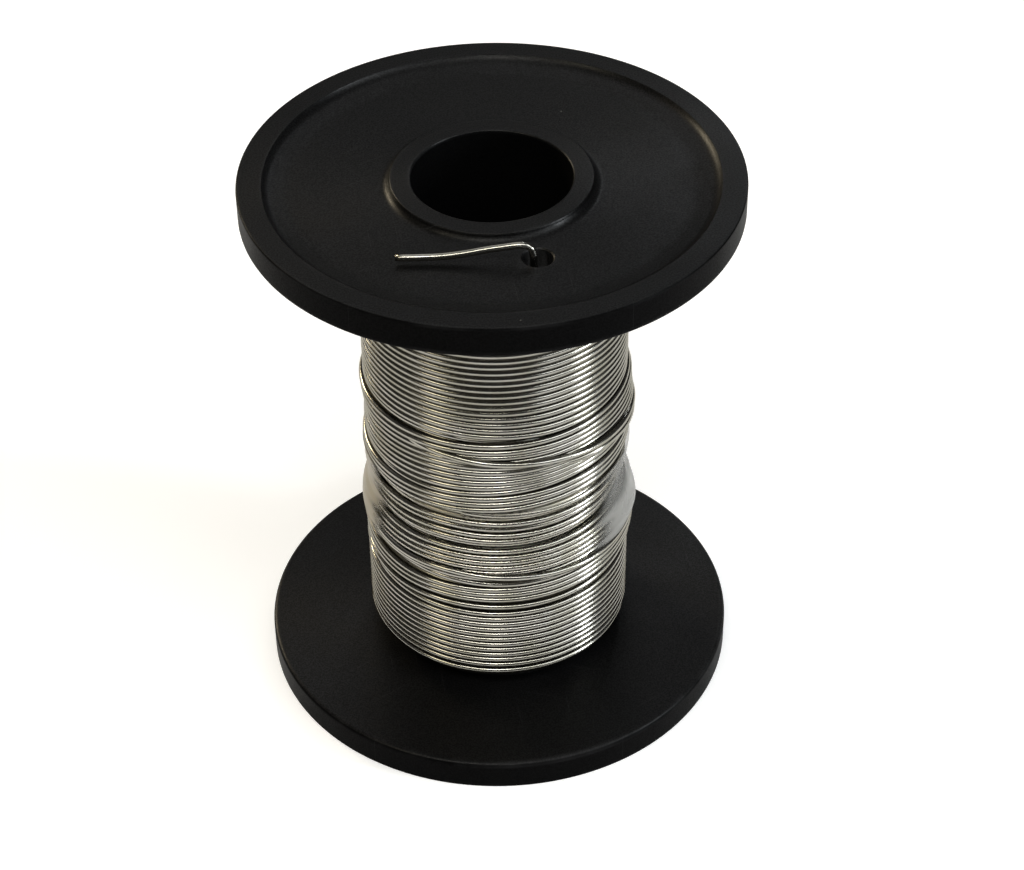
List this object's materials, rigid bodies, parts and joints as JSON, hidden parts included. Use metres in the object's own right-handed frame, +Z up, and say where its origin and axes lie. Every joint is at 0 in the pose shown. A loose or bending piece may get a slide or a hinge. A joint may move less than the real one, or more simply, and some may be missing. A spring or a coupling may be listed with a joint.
{
  "type": "solder wire spool",
  "caption": "Small flanged plastic spool with a through bore, closely wound with solder wire whose end passes out through a hole in the upper flange.",
  "frame": {"origin": "centre of the lower flange's outer face, which the spool stands on", "axes": "+Z up along the bore; the wire hole and the wire's free end are towards -Y"},
  "size_m": [0.05, 0.05, 0.0613],
  "materials": {
    "spool_plastic": "black moulded polystyrene, slightly glossy with a faint grain",
    "barrel_plastic": "black polystyrene tube",
    "under_wire": "dull silver wire in shade",
    "wire": "bright drawn solder wire",
    "tape": "thin clear adhesive tape"
  },
  "bodies": {
    "root": {"upper_flange": "spool_plastic", "lower_flange": "spool_plastic", "barrel": "barrel_plastic", "inner_windings": "under_wire", "solder_wire": "wire", "clear_tape": "tape"}
  },
  "joints": []
}
